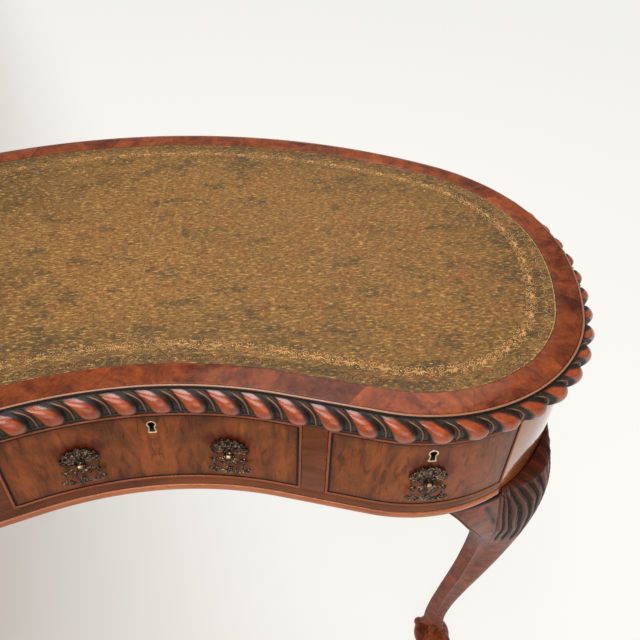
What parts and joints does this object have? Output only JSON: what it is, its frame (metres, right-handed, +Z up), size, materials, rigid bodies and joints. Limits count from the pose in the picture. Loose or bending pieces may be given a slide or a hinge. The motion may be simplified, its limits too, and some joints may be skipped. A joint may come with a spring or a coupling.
{
  "type": "kidney shaped desk",
  "caption": "Kidney shaped writing desk with a leather top, gadrooned edge, bow-fronted frieze drawers with drop handles, and carved cabriole legs on ball-and-claw feet.",
  "frame": {"origin": "on the floor under the middle of the top's bounding rectangle", "axes": "+Z up, +X along the desk to the sitter's right, +Y from the sitter towards the back"},
  "size_m": [1.0698, 0.6416, 0.775],
  "materials": {
    "dark_walnut": "polished dark walnut",
    "burr_walnut": "polished burr walnut crossbanding, red-brown with dark figure",
    "figured_walnut": "French polished figured walnut veneer",
    "carved_walnut": "polished carved walnut, near black in the hollows",
    "bead_walnut": "polished lighter walnut bead",
    "drawer_lining": "planed unpolished hardwood",
    "tooled_leather": "worn olive hide with blind and gold tooled borders",
    "antique_brass": "darkened cast brass with bright rubbed high spots",
    "pale_brass": "pale polished brass",
    "lock_steel": "dull old steel"
  },
  "bodies": {
    "carcase": {"top_board": "dark_walnut", "burr_border": "burr_walnut", "leather_panel": "tooled_leather", "top_lining": "drawer_lining", "gadroon_front": "carved_walnut", "gadroon_right": "carved_walnut", "gadroon_back": "carved_walnut", "gadroon_left": "carved_walnut", "end_frieze_right": "figured_walnut", "end_frieze_left": "figured_walnut", "back_frieze": "figured_walnut", "front_rail": "figured_walnut", "front_bead": "bead_walnut", "stile_left": "figured_walnut", "stile_right": "figured_walnut", "rear_cross_rail": "drawer_lining", "partition_left": "drawer_lining", "partition_right": "drawer_lining", "centre_runner_left": "drawer_lining", "centre_runner_right": "drawer_lining", "inner_runner_left": "drawer_lining", "inner_runner_right": "drawer_lining", "outer_runner_left": "drawer_lining", "outer_runner_right": "drawer_lining", "corner_block_front_left": "drawer_lining", "corner_block_front_right": "drawer_lining", "corner_block_rear_left": "drawer_lining", "corner_block_rear_right": "drawer_lining", "front_leg_left": "carved_walnut", "front_leg_right": "carved_walnut", "rear_leg_left": "carved_walnut", "rear_leg_right": "carved_walnut"},
    "left_drawer": {"left_drawer_front": "figured_walnut", "left_drawer_frame": "drawer_lining", "left_drawer_bottom": "drawer_lining", "left_escutcheon": "pale_brass", "left_lock_case": "lock_steel", "left_handle_plate": "antique_brass"},
    "centre_drawer": {"centre_drawer_front": "figured_walnut", "centre_drawer_frame": "drawer_lining", "centre_drawer_bottom": "drawer_lining", "centre_escutcheon": "pale_brass", "centre_lock_case": "lock_steel", "centre_left_handle_plate": "antique_brass", "centre_right_handle_plate": "antique_brass"},
    "right_drawer": {"right_drawer_front": "figured_walnut", "right_drawer_frame": "drawer_lining", "right_drawer_bottom": "drawer_lining", "right_escutcheon": "pale_brass", "right_lock_case": "lock_steel", "right_handle_plate": "antique_brass"},
    "left_drop": {"left_handle_drop": "antique_brass"},
    "centre_left_drop": {"centre_left_handle_drop": "antique_brass"},
    "centre_right_drop": {"centre_right_handle_drop": "antique_brass"},
    "right_drop": {"right_handle_drop": "antique_brass"},
    "left_bolt": {"left_lock_bolt": "pale_brass"},
    "centre_bolt": {"centre_lock_bolt": "pale_brass"},
    "right_bolt": {"right_lock_bolt": "pale_brass"}
  },
  "joints": [
    {"name": "left_drawer_slide", "type": "slide", "parent": "carcase", "child": "left_drawer", "axis": [0, -1, 0], "range_m": [0, 0.27]},
    {"name": "centre_drawer_slide", "type": "slide", "parent": "carcase", "child": "centre_drawer", "axis": [0, -1, 0], "range_m": [0, 0.24]},
    {"name": "right_drawer_slide", "type": "slide", "parent": "carcase", "child": "right_drawer", "axis": [0, -1, 0], "range_m": [0, 0.27]},
    {"name": "left_drop_hinge", "type": "hinge", "parent": "left_drawer", "child": "left_drop", "pos_m": [-0.2915, -0.31008, 0.6698], "axis": [-0.9996, -0.0291, 0], "range_deg": [0, 100]},
    {"name": "centre_left_drop_hinge", "type": "hinge", "parent": "centre_drawer", "child": "centre_left_drop", "pos_m": [-0.07905, -0.25575, 0.6698], "axis": [-0.9838, -0.1794, 0], "range_deg": [0, 100]},
    {"name": "centre_right_drop_hinge", "type": "hinge", "parent": "centre_drawer", "child": "centre_right_drop", "pos_m": [0.07905, -0.25575, 0.6698], "axis": [-0.9838, 0.1794, 0], "range_deg": [0, 100]},
    {"name": "right_drop_hinge", "type": "hinge", "parent": "right_drawer", "child": "right_drop", "pos_m": [0.2915, -0.31008, 0.6698], "axis": [-0.9996, 0.0291, 0], "range_deg": [0, 100]},
    {"name": "left_bolt_slide", "type": "slide", "parent": "left_drawer", "child": "left_bolt", "axis": [0, 0, 1], "range_m": [0, 0.0065]},
    {"name": "centre_bolt_slide", "type": "slide", "parent": "centre_drawer", "child": "centre_bolt", "axis": [0, 0, 1], "range_m": [0, 0.0065]},
    {"name": "right_bolt_slide", "type": "slide", "parent": "right_drawer", "child": "right_bolt", "axis": [0, 0, 1], "range_m": [0, 0.0065]}
  ]
}
